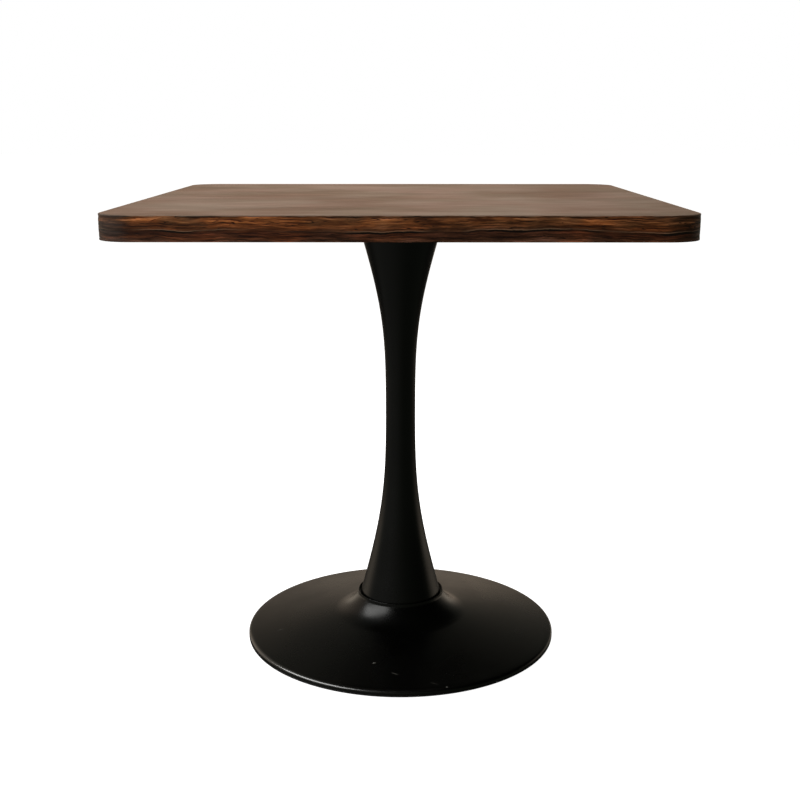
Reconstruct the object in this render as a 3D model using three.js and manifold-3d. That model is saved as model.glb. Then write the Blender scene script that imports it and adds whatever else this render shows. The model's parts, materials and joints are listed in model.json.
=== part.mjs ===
// Bistro table: a square laminated top on a black hourglass column and a round dished base.
//
// Millimetres, +Z up. The floor is z = 0 and the pedestal's axis is x = y = 0.
// A tie rod screwed into the hub under the top plate clamps the column, the dish and the
// cast ballast together. Four screw glides in the ballast level the table.

import * as THREE from 'three';
import { mergeVertices } from 'three/addons/utils/BufferGeometryUtils.js';
import Module from 'manifold-3d';

const wasm = await Module();
wasm.setup();

// ---- driving dimensions ----------------------------------------------------------------

const GAP = 0.3;                       // clearance where one round piece runs inside another
const OVERLAP = 1;                     // how far solids run on past a face they join or cut

const TABLE_HEIGHT = 750;
const TOP_HALF_SIDE = 400;
const TOP_CORNER_RADIUS = 50;
const TOP_THICKNESS = 35;
const LAMINATE = 1;                    // decor sheet above and backing sheet below the board
const BAND = 2;                        // edge band thickness
const BAND_ARRIS = 1.5;                // chamfer along the band's upper edge
const CORNER_STEPS = 8;

const PLATE_THICKNESS = 5;             // four-armed plate under the board
const PLATE_DISC_RADIUS = 78;
const ARM_HALF_WIDTH = 18;
const ARM_END = 200;                   // centre of each arm's rounded end
const SCREW_RADII = [112, 192];        // wood screws along each arm, from the axis
const HUB_RADIUS = 16;
const HUB_LENGTH = 20;

const COLUMN_FOOT = 70;                // lower end of the column
const COLUMN_MID = 397;                // height of its waist
const COLUMN_WAIST_RADIUS = 24.8;
const COLUMN_WALL = 2.5;
const COLUMN_STEPS = 8;
// Each half flares from the waist to a radius at its end. The slope is the radius gained
// per millimetre there, and the pulls say how far the waist and that slope reach.
const LOWER_HALF = { radius: 69.2, slope: 0.275, waistPull: 129, endPull: 144 };
const UPPER_HALF = { radius: 70, slope: 0.299, waistPull: 128, endPull: 141 };
const DISC_THICKNESS = 4;              // centring discs inside both ends of the column

const BASE_RADIUS = 264;
const DISH_WALL = 2.5;
const DISH_EDGE = 5;                   // lower edge of the dish's rim
const SHOULDER = 12.2;                 // height of the rim's rounded shoulder
const SHOULDER_RADIUS = 5;
const FLARE_RADIUS = 115;              // where the plain cone turns up into the neck
const FLARE_HEIGHT = 37.5;
const NECK_RADIUS = 73.2;
const NECK_HEIGHT = 75;                // top of the upstanding lip round the column
const NECK_LIP = 1.4;                  // thickness of the lip
const NECK_STEEPNESS = 60;             // degrees from level, just below the lip
const NECK_PULL = 14;                  // how far that steepness reaches down
const LEDGE_RADIUS = 48;               // hole in the ledge that carries the column
const FLARE_PULL = 22;                 // how far the cone's slope reaches in
const FLARE_STEPS = 6;

const TRIM_FOOT = 2;                   // lower edge of the rubber trim, above the floor
const TRIM_SPLIT = 4.7;                // the trim's lip meets the dish's edge here
const TRIM_WIDTH = 5.4;
const TRIM_CHAMFER = 0.8;

const BALLAST_RADIUS = 225;
const BALLAST_FOOT = 9.5;
const BALLAST_RECESS_RADIUS = 150;
const BALLAST_RECESS = 20;
const BALLAST_DRAFT = 8;               // how far the recess's sloping wall leans in
const BALLAST_CLEARANCE = 3.5;         // from the ballast to the cover's outer face
const BALLAST_TOP = 33;
const SUPPORT_RADIUS = 58;
const SUPPORT_WALL = 4;

const ROD_RADIUS = 5;                  // M10
const ROD_FOOT = 5;
const ROD_TOP = 706;
const ROD_CHAMFER = 1;
const NUT_ACROSS_FLATS = 17;
const NUT_HEIGHT = 8;
const WASHER_RADIUS = 15;
const WASHER_THICKNESS = 2;
const SPRING_WASHER_RADIUS = 9;
const SPRING_WASHER_THICKNESS = 2.5;
const SPRING_WASHER_SPLIT = 0.16;      // radians left open

const GLIDE_CIRCLE = 190;              // radius of the circle the four glides stand on
const STEM_RADIUS = 4;                 // M8
const STEM_TOP = 18.2;
const STEM_CHAMFER = 1;
const HEX_ACROSS_FLATS = 13;
const HEX_FOOT = 4.4;
const HEX_TOP = 7;
const BUTTON_RADIUS = 5;
const BUTTON_FOOT = 2;
const BUTTON_TOP = 3.6;
const STEM_NECK_RADIUS = 3;
const PAD_RADIUS = 15;
const PAD_HEIGHT = 4.1;
const PAD_CHAMFER = 1;

const ROUND = 40;                      // sides of the large round pieces
const ROUND_MIDDLE = 16;               // sides of the hub, support tube, washer and pads
const ROUND_SMALL = 12;                // sides of rods, screws and drilled holes
const HOLE_SIDES = 8;                  // sides of holes punched through flat plates

// ---- heights that follow ---------------------------------------------------------------

const TOP_UNDERSIDE = TABLE_HEIGHT - TOP_THICKNESS;
const CORE_TOP = TABLE_HEIGHT - LAMINATE;
const CORE_FOOT = TOP_UNDERSIDE + LAMINATE;
const PLATE_FOOT = TOP_UNDERSIDE - PLATE_THICKNESS;
const LEDGE_FOOT = COLUMN_FOOT - DISH_WALL;
const WASHER_FOOT = BALLAST_RECESS - WASHER_THICKNESS;
const SPRING_WASHER_FOOT = WASHER_FOOT - SPRING_WASHER_THICKNESS;
const NUT_FOOT = SPRING_WASHER_FOOT - NUT_HEIGHT;

// ---- materials -------------------------------------------------------------------------

function finish(color, roughness, metalness) {
  return new THREE.MeshStandardMaterial({ color, roughness, metalness });
}

const WOOD_DECOR = finish(0x7d6450, 0.45, 0);
const WOOD_EDGE = finish(0x5d3520, 0.5, 0);
const CHIPBOARD = finish(0xb99a6b, 0.9, 0);
const BACKING = finish(0x4a3628, 0.7, 0);
const BLACK_COAT = finish(0x0c0d0b, 0.42, 0.2);
const BLACK_RUBBER = finish(0x0a0a0a, 0.8, 0);
const BLACK_IRON = finish(0x1c1c1d, 0.8, 0.3);
const ZINC = finish(0xa9adb0, 0.35, 0.9);
const NYLON = finish(0x151515, 0.6, 0);

// ---- geometry helpers ------------------------------------------------------------------

// Turns a profile of [radius, height] points, counterclockwise, about the Z axis.
function revolve(profile, sides) {
  const points = profile.map(([radius, z]) => new THREE.Vector2(radius, z));
  return new THREE.LatheGeometry(points, sides).rotateX(Math.PI / 2);
}

// A flat ring or disc between two heights: hole 0 gives a solid disc.
function disc(radius, hole, foot, top, sides) {
  const corners = [[hole, foot], [radius, foot], [radius, top], [hole, top]];
  return revolve(hole > 0 ? [...corners, corners[0]] : corners, sides);
}

// Extrudes a flat outline between two heights; its round holes get the given sides.
function extrudeUp(shape, foot, top, sides = ROUND_SMALL) {
  const options = { depth: top - foot, bevelEnabled: false, curveSegments: sides / 2 };
  return new THREE.ExtrudeGeometry(shape, options).translate(0, 0, foot);
}

function circlePath(x, y, radius) {
  return new THREE.Path().absarc(x, y, radius, 0, 2 * Math.PI, true);
}

function hexagon(acrossFlats) {
  const radius = acrossFlats / Math.sqrt(3);
  const corners = [];
  for (let i = 0; i < 6; i += 1) {
    const angle = (i * Math.PI) / 3;
    corners.push(new THREE.Vector2(radius * Math.cos(angle), radius * Math.sin(angle)));
  }
  return new THREE.Shape(corners);
}

// Outline of a square with rounded corners, counterclockwise, as [x, y] pairs.
function roundedSquare(halfSide, cornerRadius) {
  const outline = [];
  const centre = halfSide - cornerRadius;
  for (let corner = 0; corner < 4; corner += 1) {
    const sideX = corner === 0 || corner === 3 ? 1 : -1;
    const sideY = corner < 2 ? 1 : -1;
    for (let step = 0; step <= CORNER_STEPS; step += 1) {
      const angle = ((corner + step / CORNER_STEPS) * Math.PI) / 2;
      const x = sideX * centre + cornerRadius * Math.cos(angle);
      const y = sideY * centre + cornerRadius * Math.sin(angle);
      outline.push([x, y]);
    }
  }
  return outline;
}

function roundedSquareShape(inset) {
  const outline = roundedSquare(TOP_HALF_SIDE - inset, TOP_CORNER_RADIUS - inset);
  return new THREE.Shape(outline.map(([x, y]) => new THREE.Vector2(x, y)));
}

// Sweeps a closed profile of [inset, height] points, counterclockwise in section,
// round the edge of the table top.
function sweepRoundTop(profile) {
  const vertices = [];
  for (const [inset, z] of profile) {
    for (const [x, y] of roundedSquare(TOP_HALF_SIDE - inset, TOP_CORNER_RADIUS - inset)) {
      vertices.push(x, y, z);
    }
  }
  const around = 4 * (CORNER_STEPS + 1);
  const triangles = [];
  for (let row = 0; row < profile.length; row += 1) {
    const above = (row + 1) % profile.length;
    for (let i = 0; i < around; i += 1) {
      const next = (i + 1) % around;
      const a = row * around + i;
      const b = row * around + next;
      const c = above * around + next;
      const d = above * around + i;
      triangles.push(a, b, c, a, c, d);
    }
  }
  const geometry = new THREE.BufferGeometry();
  geometry.setAttribute('position', new THREE.Float32BufferAttribute(vertices, 3));
  geometry.setIndex(triangles);
  geometry.computeVertexNormals();
  return geometry;
}

function toSolid(geometry) {
  const bare = geometry.clone();
  bare.deleteAttribute('normal');
  bare.deleteAttribute('uv');
  const merged = mergeVertices(bare, 1e-4);
  return new wasm.Manifold(new wasm.Mesh({
    numProp: 3,
    vertProperties: new Float32Array(merged.attributes.position.array),
    triVerts: new Uint32Array(merged.index.array),
  }));
}

function toGeometry(solid) {
  const mesh = solid.getMesh();
  const geometry = new THREE.BufferGeometry();
  geometry.setAttribute('position', new THREE.BufferAttribute(mesh.vertProperties, 3));
  geometry.setIndex(new THREE.BufferAttribute(mesh.triVerts, 1));
  geometry.computeVertexNormals();
  return geometry;
}

// Cuts the same upright round hole into a geometry at each of the given places.
function drill(geometry, places, radius, foot, top) {
  let solid = toSolid(geometry);
  for (const [x, y] of places) {
    const hole = disc(radius, 0, foot, top, ROUND_SMALL).translate(x, y, 0);
    solid = solid.subtract(toSolid(hole));
  }
  return toGeometry(solid);
}

// ---- places of what repeats ------------------------------------------------------------

const DIAGONALS = [1, 3, 5, 7].map((eighth) => (eighth * Math.PI) / 4);

function onDiagonals(radius) {
  return DIAGONALS.map((angle) => [radius * Math.cos(angle), radius * Math.sin(angle)]);
}

const SCREW_PLACES = SCREW_RADII.flatMap(onDiagonals);
const GLIDE_PLACES = onDiagonals(GLIDE_CIRCLE);

// ---- table top -------------------------------------------------------------------------

const SCREW_SHANK_RADIUS = 2.2;
const SCREW_HEAD_RADIUS = 4.75;
const SCREW_HEAD_HEIGHT = 3;
const SCREW_LENGTH = 26;               // shank and point, from the arm's underside
const SCREW_POINT = 4;
const PILOT_RADIUS = SCREW_SHANK_RADIUS + GAP;
const PLATE_HOLE_RADIUS = 3;

function topLaminate() {
  return extrudeUp(roundedSquareShape(BAND), CORE_TOP, TABLE_HEIGHT);
}

function topCore() {
  const board = extrudeUp(roundedSquareShape(BAND), CORE_FOOT, CORE_TOP);
  const pilotTop = PLATE_FOOT + SCREW_LENGTH + OVERLAP;
  return drill(board, SCREW_PLACES, PILOT_RADIUS, CORE_FOOT - OVERLAP, pilotTop);
}

function backingLaminate() {
  const sheet = roundedSquareShape(BAND);
  sheet.holes = SCREW_PLACES.map(([x, y]) => circlePath(x, y, PILOT_RADIUS));
  return extrudeUp(sheet, TOP_UNDERSIDE, CORE_FOOT, HOLE_SIDES);
}

function edgeBand() {
  return sweepRoundTop([
    [BAND, TOP_UNDERSIDE],
    [0, TOP_UNDERSIDE],
    [0, TABLE_HEIGHT - BAND_ARRIS],
    [BAND_ARRIS, TABLE_HEIGHT],
    [BAND, TABLE_HEIGHT],
  ]);
}

// ---- fixing plate under the top --------------------------------------------------------

// One plate cut with four arms on the diagonals, round-ended, joined by a round middle.
function mountingSpider() {
  const plate = new THREE.Shape();
  const rootAngle = Math.asin(ARM_HALF_WIDTH / PLATE_DISC_RADIUS);
  for (const angle of DIAGONALS) {
    const x = ARM_END * Math.cos(angle);
    const y = ARM_END * Math.sin(angle);
    const right = angle - Math.PI / 2;
    const left = angle + Math.PI / 2;
    plate.absarc(x, y, ARM_HALF_WIDTH, right, left, false);
    const rootStart = angle + rootAngle;
    const rootEnd = angle + Math.PI / 2 - rootAngle;
    plate.absarc(0, 0, PLATE_DISC_RADIUS, rootStart, rootEnd, false);
  }
  plate.holes = SCREW_PLACES.map(([x, y]) => circlePath(x, y, PLATE_HOLE_RADIUS));
  return extrudeUp(plate, PLATE_FOOT, TOP_UNDERSIDE, HOLE_SIDES);
}

function spiderHub() {
  const foot = PLATE_FOOT - HUB_LENGTH;
  return disc(HUB_RADIUS, ROD_RADIUS + GAP, foot, PLATE_FOOT, ROUND_MIDDLE);
}

// Pan-head wood screw, driven up from below; it stands on its own axis.
function woodScrew() {
  const shankTop = PLATE_FOOT + SCREW_LENGTH - SCREW_POINT;
  return revolve([
    [0, PLATE_FOOT - SCREW_HEAD_HEIGHT],
    [0.6 * SCREW_HEAD_RADIUS, PLATE_FOOT - SCREW_HEAD_HEIGHT],
    [SCREW_HEAD_RADIUS, PLATE_FOOT - SCREW_HEAD_HEIGHT / 2],
    [SCREW_HEAD_RADIUS, PLATE_FOOT],
    [SCREW_SHANK_RADIUS, PLATE_FOOT],
    [SCREW_SHANK_RADIUS, shankTop],
    [0, shankTop + SCREW_POINT],
  ], ROUND_SMALL);
}

// ---- column ----------------------------------------------------------------------------

// Half of the hourglass as a curve of (radius, height) from the waist to one end.
function hourglassHalf({ radius, slope, waistPull, endPull }, end) {
  const toEnd = Math.sign(end - COLUMN_MID);
  return new THREE.CubicBezierCurve(
    new THREE.Vector2(COLUMN_WAIST_RADIUS, COLUMN_MID),
    new THREE.Vector2(COLUMN_WAIST_RADIUS, COLUMN_MID + toEnd * waistPull),
    new THREE.Vector2(radius - slope * endPull, end - toEnd * endPull),
    new THREE.Vector2(radius, end),
  );
}

const LOWER_CURVE = hourglassHalf(LOWER_HALF, COLUMN_FOOT);
const UPPER_CURVE = hourglassHalf(UPPER_HALF, PLATE_FOOT);

// Outline of the hourglass from its foot up to the plate, as [radius, height] points.
function hourglassOutline(inward) {
  const below = LOWER_CURVE.getPoints(COLUMN_STEPS).reverse();
  const above = UPPER_CURVE.getPoints(COLUMN_STEPS).slice(1);
  return [...below, ...above].map((p) => [p.x - inward, p.y]);
}

// Radius of the hourglass's straight-sided outline at a height.
function columnRadius(height) {
  const outline = hourglassOutline(0);
  const above = outline.findIndex(([, z]) => z >= height && z > COLUMN_FOOT);
  const [lowRadius, lowZ] = outline[above - 1];
  const [highRadius, highZ] = outline[above];
  return lowRadius + ((highRadius - lowRadius) * (height - lowZ)) / (highZ - lowZ);
}

function columnShell() {
  const outside = hourglassOutline(0);
  const inside = hourglassOutline(COLUMN_WALL).reverse();
  return revolve([...outside, ...inside, outside[0]], ROUND);
}

// Disc that sits inside one end of the column and keeps it central on the rod.
function centringDisc(foot, hole) {
  const top = foot + DISC_THICKNESS;
  const narrowest = Math.min(columnRadius(foot), columnRadius(top));
  const inside = (narrowest - COLUMN_WALL) * Math.cos(Math.PI / ROUND);
  return disc(inside - GAP, hole, foot, top, ROUND);
}

function upperCentringDisc() {
  return centringDisc(PLATE_FOOT - DISC_THICKNESS, HUB_RADIUS + GAP);
}

function lowerCentringDisc() {
  return centringDisc(COLUMN_FOOT, ROD_RADIUS + 2 * GAP);
}

// ---- base ------------------------------------------------------------------------------

const CONE_START = BASE_RADIUS - SHOULDER_RADIUS;
const CONE_SLOPE = (FLARE_HEIGHT - SHOULDER) / (CONE_START - FLARE_RADIUS);

function coneHeight(radius) {
  return SHOULDER + (CONE_START - radius) * CONE_SLOPE;
}

// Section of the concave neck, from the foot of the lip down and out to the cone.
function flareCurve(inward) {
  const start = new THREE.Vector2(NECK_RADIUS - inward, COLUMN_FOOT - inward);
  const steepness = THREE.MathUtils.degToRad(NECK_STEEPNESS);
  const down = new THREE.Vector2(Math.cos(steepness), -Math.sin(steepness));
  const pullRadius = FLARE_RADIUS - FLARE_PULL;
  return new THREE.CubicBezierCurve(
    start,
    start.clone().addScaledVector(down, NECK_PULL),
    new THREE.Vector2(pullRadius, coneHeight(pullRadius) - inward),
    new THREE.Vector2(FLARE_RADIUS, FLARE_HEIGHT - inward),
  );
}

// Spun steel cover: a cone with a rounded rim outside, an upstanding lip round the
// column's foot inside, and an inward ledge that the column stands on.
function baseDish() {
  const shoulder = [];
  for (const degrees of [0, 30, 60, 90]) {
    const angle = THREE.MathUtils.degToRad(degrees);
    const radius = CONE_START + SHOULDER_RADIUS * Math.cos(angle);
    const height = SHOULDER - SHOULDER_RADIUS + SHOULDER_RADIUS * Math.sin(angle);
    shoulder.push([radius, height]);
  }
  const flareOutside = flareCurve(0).getPoints(FLARE_STEPS).map((p) => [p.x, p.y]).reverse();
  const flareInside = flareCurve(DISH_WALL).getPoints(FLARE_STEPS).map((p) => [p.x, p.y]);
  const lipInside = NECK_RADIUS - NECK_LIP;
  const inside = BASE_RADIUS - DISH_WALL;
  return revolve([
    [BASE_RADIUS, DISH_EDGE],
    ...shoulder,
    ...flareOutside,
    [NECK_RADIUS, NECK_HEIGHT],
    [lipInside, NECK_HEIGHT],
    [lipInside, COLUMN_FOOT],
    [LEDGE_RADIUS, COLUMN_FOOT],
    [LEDGE_RADIUS, LEDGE_FOOT],
    ...flareInside,
    [CONE_START, SHOULDER - DISH_WALL],
    [inside, SHOULDER - SHOULDER_RADIUS],
    [inside, DISH_EDGE],
    [BASE_RADIUS, DISH_EDGE],
  ], ROUND);
}

// Rubber trim under the dish's edge, held by a leg that stands inside the rim.
function rimTrimRing() {
  const outer = BASE_RADIUS;
  const inner = outer - TRIM_WIDTH;
  const leg = (BASE_RADIUS - DISH_WALL) * Math.cos(Math.PI / ROUND) - GAP;
  const legTop = SHOULDER - SHOULDER_RADIUS - GAP;
  return revolve([
    [inner, TRIM_FOOT],
    [outer - TRIM_CHAMFER, TRIM_FOOT],
    [outer, TRIM_FOOT + TRIM_CHAMFER],
    [outer, TRIM_SPLIT],
    [leg, TRIM_SPLIT],
    [leg, legTop],
    [inner, legTop],
    [inner, TRIM_FOOT],
  ], ROUND);
}

// Cast iron weight that fills the dish, recessed below round the rod's nut.
function ballastPlate() {
  const coverAboveTop = BALLAST_TOP + BALLAST_CLEARANCE;
  const topRadius = CONE_START - (coverAboveTop - SHOULDER) / CONE_SLOPE;
  const edgeTop = coneHeight(BALLAST_RADIUS) - BALLAST_CLEARANCE;
  const bore = ROD_RADIUS + 2 * GAP;
  const plate = revolve([
    [bore, BALLAST_RECESS],
    [BALLAST_RECESS_RADIUS - BALLAST_DRAFT, BALLAST_RECESS],
    [BALLAST_RECESS_RADIUS, BALLAST_FOOT],
    [BALLAST_RADIUS, BALLAST_FOOT],
    [BALLAST_RADIUS, edgeTop],
    [topRadius, BALLAST_TOP],
    [bore, BALLAST_TOP],
    [bore, BALLAST_RECESS],
  ], ROUND);
  return drill(plate, GLIDE_PLACES, STEM_RADIUS + GAP, 0, NECK_HEIGHT);
}

function neckSupportTube() {
  const bore = SUPPORT_RADIUS - SUPPORT_WALL;
  return disc(SUPPORT_RADIUS, bore, BALLAST_TOP, LEDGE_FOOT, ROUND_MIDDLE);
}

// ---- tie rod ---------------------------------------------------------------------------

function tieRod() {
  return revolve([
    [0, ROD_FOOT],
    [ROD_RADIUS - ROD_CHAMFER, ROD_FOOT],
    [ROD_RADIUS, ROD_FOOT + ROD_CHAMFER],
    [ROD_RADIUS, ROD_TOP - ROD_CHAMFER],
    [ROD_RADIUS - ROD_CHAMFER, ROD_TOP],
    [0, ROD_TOP],
  ], ROUND_SMALL);
}

function tieRodWasher() {
  return disc(WASHER_RADIUS, ROD_RADIUS + GAP, WASHER_FOOT, BALLAST_RECESS, ROUND_MIDDLE);
}

function tieRodSpringWasher() {
  const start = SPRING_WASHER_SPLIT / 2;
  const end = 2 * Math.PI - start;
  const ring = new THREE.Shape();
  ring.absarc(0, 0, SPRING_WASHER_RADIUS, start, end, false);
  ring.absarc(0, 0, ROD_RADIUS + GAP, end, start, true);
  return extrudeUp(ring, SPRING_WASHER_FOOT, WASHER_FOOT);
}

function tieRodNut() {
  const nut = hexagon(NUT_ACROSS_FLATS);
  nut.holes = [circlePath(0, 0, ROD_RADIUS + GAP)];
  return extrudeUp(nut, NUT_FOOT, SPRING_WASHER_FOOT);
}

// ---- levelling glides ------------------------------------------------------------------

// Nylon foot with a socket in which the stem's button turns.
function glidePad() {
  const mouth = STEM_NECK_RADIUS + GAP;
  const socket = BUTTON_RADIUS + GAP;
  return revolve([
    [0, 0],
    [PAD_RADIUS, 0],
    [PAD_RADIUS, PAD_HEIGHT - PAD_CHAMFER],
    [PAD_RADIUS - PAD_CHAMFER, PAD_HEIGHT],
    [mouth, PAD_HEIGHT],
    [mouth, BUTTON_TOP + GAP],
    [socket, BUTTON_TOP + GAP],
    [socket, BUTTON_FOOT - GAP],
    [0, BUTTON_FOOT - GAP],
  ], ROUND_MIDDLE);
}

// Button foot, spanner hexagon and M8 thread in one piece.
function glideStem() {
  const button = revolve([
    [0, BUTTON_FOOT],
    [BUTTON_RADIUS, BUTTON_FOOT],
    [BUTTON_RADIUS, BUTTON_TOP],
    [STEM_NECK_RADIUS, BUTTON_TOP],
    [STEM_NECK_RADIUS, HEX_FOOT + OVERLAP],
    [0, HEX_FOOT + OVERLAP],
  ], ROUND_SMALL);
  const hex = extrudeUp(hexagon(HEX_ACROSS_FLATS), HEX_FOOT, HEX_TOP);
  const thread = revolve([
    [0, HEX_TOP - OVERLAP],
    [STEM_RADIUS, HEX_TOP - OVERLAP],
    [STEM_RADIUS, STEM_TOP - STEM_CHAMFER],
    [STEM_RADIUS - STEM_CHAMFER, STEM_TOP],
    [0, STEM_TOP],
  ], ROUND_SMALL);
  return toGeometry(toSolid(button).add(toSolid(hex)).add(toSolid(thread)));
}

// ---- assembly --------------------------------------------------------------------------

function piece(name, geometry, material, [x, y] = [0, 0]) {
  const mesh = new THREE.Mesh(geometry, material);
  mesh.name = name;
  mesh.position.set(x, y, 0);
  return mesh;
}

function group(...pieces) {
  const holder = new THREE.Group();
  holder.add(...pieces);
  return holder;
}

const tableTop = group(
  piece('top_laminate', topLaminate(), WOOD_DECOR),
  piece('top_core', topCore(), CHIPBOARD),
  piece('backing_laminate', backingLaminate(), BACKING),
  piece('edge_band', edgeBand(), WOOD_EDGE),
);

const topFixing = group(
  piece('mounting_spider', mountingSpider(), BLACK_COAT),
  piece('spider_hub', spiderHub(), BLACK_COAT),
  ...SCREW_PLACES.map((place, i) => piece(`wood_screw_${i + 1}`, woodScrew(), ZINC, place)),
);

const column = group(
  piece('column_shell', columnShell(), BLACK_COAT),
  piece('upper_centring_disc', upperCentringDisc(), ZINC),
  piece('lower_centring_disc', lowerCentringDisc(), ZINC),
);

const base = group(
  piece('base_dish', baseDish(), BLACK_COAT),
  piece('rim_trim_ring', rimTrimRing(), BLACK_RUBBER),
  piece('ballast_plate', ballastPlate(), BLACK_IRON),
  piece('neck_support_tube', neckSupportTube(), BLACK_IRON),
);

const clamp = group(
  piece('tie_rod', tieRod(), ZINC),
  piece('tie_rod_washer', tieRodWasher(), ZINC),
  piece('tie_rod_spring_washer', tieRodSpringWasher(), ZINC),
  piece('tie_rod_nut', tieRodNut(), ZINC),
);

const glides = group(
  ...GLIDE_PLACES.flatMap((place, i) => [
    piece(`glide_pad_${i + 1}`, glidePad(), NYLON, place),
    piece(`glide_stem_${i + 1}`, glideStem(), ZINC, place),
  ]),
);

export default group(tableTop, topFixing, column, base, clamp, glides);
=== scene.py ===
"""Bistro table: the looks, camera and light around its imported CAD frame. Metres, +Z up."""

import json
import math

import bmesh
import bpy
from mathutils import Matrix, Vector, noise


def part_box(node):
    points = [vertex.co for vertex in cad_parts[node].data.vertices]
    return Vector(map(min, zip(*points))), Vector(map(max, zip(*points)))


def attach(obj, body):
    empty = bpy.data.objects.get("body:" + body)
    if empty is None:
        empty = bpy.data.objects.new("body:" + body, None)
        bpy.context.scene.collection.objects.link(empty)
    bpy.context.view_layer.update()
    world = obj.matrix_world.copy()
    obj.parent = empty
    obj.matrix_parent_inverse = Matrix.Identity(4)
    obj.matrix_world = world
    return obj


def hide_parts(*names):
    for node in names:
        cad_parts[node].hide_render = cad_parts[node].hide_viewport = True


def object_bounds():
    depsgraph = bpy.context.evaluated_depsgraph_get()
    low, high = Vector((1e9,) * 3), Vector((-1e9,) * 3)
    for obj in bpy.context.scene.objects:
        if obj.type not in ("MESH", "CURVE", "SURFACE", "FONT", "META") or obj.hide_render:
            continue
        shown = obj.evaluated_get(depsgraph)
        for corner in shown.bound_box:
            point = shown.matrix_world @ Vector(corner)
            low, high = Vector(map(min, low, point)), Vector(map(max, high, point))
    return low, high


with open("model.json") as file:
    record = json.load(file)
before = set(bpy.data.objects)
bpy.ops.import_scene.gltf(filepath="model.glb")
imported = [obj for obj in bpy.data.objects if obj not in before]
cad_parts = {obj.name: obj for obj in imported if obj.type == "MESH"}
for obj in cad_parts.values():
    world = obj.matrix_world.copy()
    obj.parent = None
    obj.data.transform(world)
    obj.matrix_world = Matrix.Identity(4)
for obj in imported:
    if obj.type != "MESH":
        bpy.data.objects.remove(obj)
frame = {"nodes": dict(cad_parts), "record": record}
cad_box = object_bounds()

MM = 0.001

# ---- camera ----------------------------------------------------------------------------

CAMERA_PLACE = (0.011, -1.945, 0.8667)
CAMERA_DOWN = 13.16          # degrees below the horizon
CAMERA_LEFT = 0.35           # degrees to the left of +Y
CAMERA_LENS = 53.46          # mm
CAMERA_SENSOR = 36.0         # mm


def make_camera():
    data = bpy.data.cameras.new("camera")
    data.lens = CAMERA_LENS
    data.sensor_width = CAMERA_SENSOR
    data.dof.use_dof = False
    camera = bpy.data.objects.new("camera", data)
    camera.location = CAMERA_PLACE
    camera.rotation_euler = (math.radians(90.0 - CAMERA_DOWN), 0.0, math.radians(CAMERA_LEFT))
    bpy.context.scene.collection.objects.link(camera)
    bpy.context.scene.camera = camera


# ---- shader nodes ----------------------------------------------------------------------

MIX_FACTOR, MIX_A, MIX_B, MIX_RESULT = 0, 6, 7, 2    # sockets of a Mix node for colours


def feed(tree, node, inputs):
    """Links each input that is given as a socket and sets any other."""
    for key, value in inputs.items():
        if isinstance(value, bpy.types.NodeSocket):
            tree.links.new(value, node.inputs[key])
        else:
            node.inputs[key].default_value = value


def add(tree, kind, inputs=None, **settings):
    made = tree.nodes.new("ShaderNode" + kind)
    for key, value in settings.items():
        setattr(made, key, value)
    feed(tree, made, inputs or {})
    return made


def calc(tree, operation, *values):
    return add(tree, "Math", dict(enumerate(values)), operation=operation).outputs[0]


def rgba(colour):
    """A colour with its alpha; a number stands for a grey, and a socket stays as it is."""
    if isinstance(colour, bpy.types.NodeSocket):
        return colour
    if isinstance(colour, (int, float)):
        colour = (colour, colour, colour)
    return (*colour, 1.0)


def ramp(tree, factor, stops, smooth=True):
    """A colour ramp through (position, colour) stops."""
    made = add(tree, "ValToRGB", {"Fac": factor})
    band = made.color_ramp
    band.interpolation = "EASE" if smooth else "LINEAR"
    while len(band.elements) < len(stops):
        band.elements.new(1.0)
    for element, (position, colour) in zip(band.elements, stops):
        element.position = position
        element.color = rgba(colour)
    return made.outputs["Color"]


def mix(tree, factor, a, b, mode="MIX"):
    inputs = {MIX_FACTOR: factor, MIX_A: rgba(a), MIX_B: rgba(b)}
    made = add(tree, "Mix", inputs, data_type="RGBA", blend_type=mode, clamp_factor=True)
    return made.outputs[MIX_RESULT]


def tint(tree, colour, by):
    return mix(tree, 1.0, colour, by, "MULTIPLY")


def axes(tree, vector):
    """Sockets "X", "Y" and "Z" of a vector."""
    return add(tree, "SeparateXYZ", {0: vector}).outputs


def place_in(tree):
    """Object coordinates, in metres."""
    return add(tree, "TexCoord").outputs["Object"]


def stretched(tree, scale, shift=(0.0, 0.0, 0.0)):
    """Object coordinates multiplied along each axis, or by one number along all three."""
    if isinstance(scale, float):
        scale = (scale, scale, scale)
    inputs = {"Vector": place_in(tree), "Scale": scale, "Location": shift}
    return add(tree, "Mapping", inputs).outputs[0]


def noise_at(tree, place, detail=4.0, roughness=0.55, distortion=0.0):
    return add(tree, "TexNoise", {
        "Vector": place, "Scale": 1.0, "Detail": detail,
        "Roughness": roughness, "Distortion": distortion,
    }).outputs["Fac"]


def cells_at(tree, place):
    return add(tree, "TexVoronoi", {"Vector": place, "Scale": 1.0}).outputs


def swing(tree, field, amount):
    """How far a noise field departs from its middle, times an amount."""
    return calc(tree, "MULTIPLY", calc(tree, "SUBTRACT", field, 0.5), amount)


def bump(tree, height, distance, strength):
    inputs = {"Height": height, "Distance": distance, "Strength": strength}
    return add(tree, "Bump", inputs).outputs[0]


def new_material(name):
    material = bpy.data.materials.new(name)
    material.use_nodes = True
    tree = material.node_tree
    tree.nodes.clear()
    shader = add(tree, "BsdfPrincipled")
    add(tree, "OutputMaterial", {"Surface": shader.outputs[0]})
    return material, tree, shader


# ---- light and floor -------------------------------------------------------------------

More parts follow.
